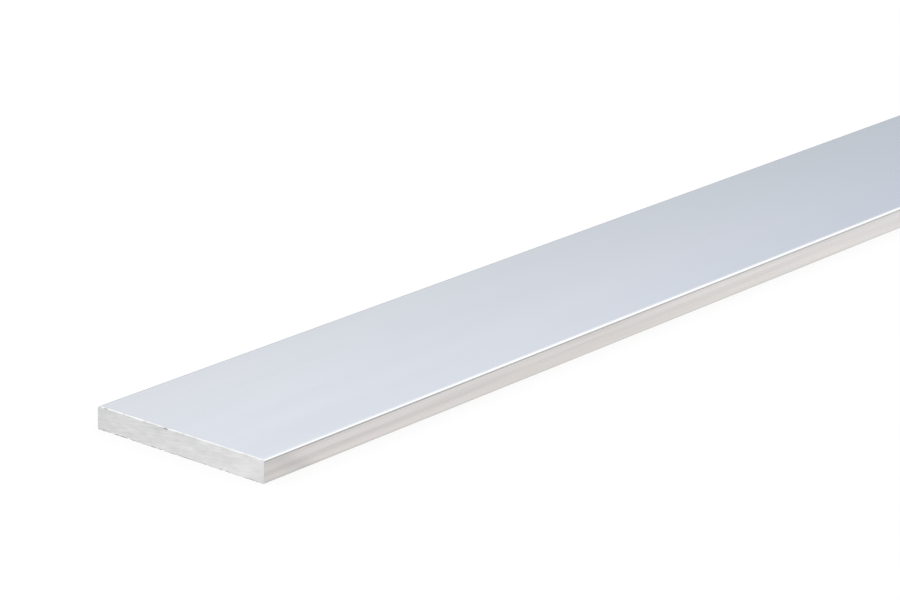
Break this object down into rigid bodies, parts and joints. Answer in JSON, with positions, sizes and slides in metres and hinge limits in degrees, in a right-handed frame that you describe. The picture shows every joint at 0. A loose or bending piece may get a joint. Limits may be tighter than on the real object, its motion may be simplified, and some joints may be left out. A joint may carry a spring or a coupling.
{
  "type": "cover strip",
  "caption": "Flat metal cover strip cut from extruded bar, with softly rounded long edges on its face, crisp ones on its back and square sawn ends, for covering a joint or an edge.",
  "frame": {"origin": "centre of the back face, the one that lies on the surface that the strip covers", "axes": "+X along the strip's length, +Y across its width, +Z out of its face"},
  "size_m": [1, 0.018, 0.002],
  "materials": {
    "anodised_aluminium": "natural satin anodised face, fine extrusion lines along the edges, bare sawn ends"
  },
  "bodies": {
    "root": {"cover_strip": "anodised_aluminium"}
  },
  "joints": []
}
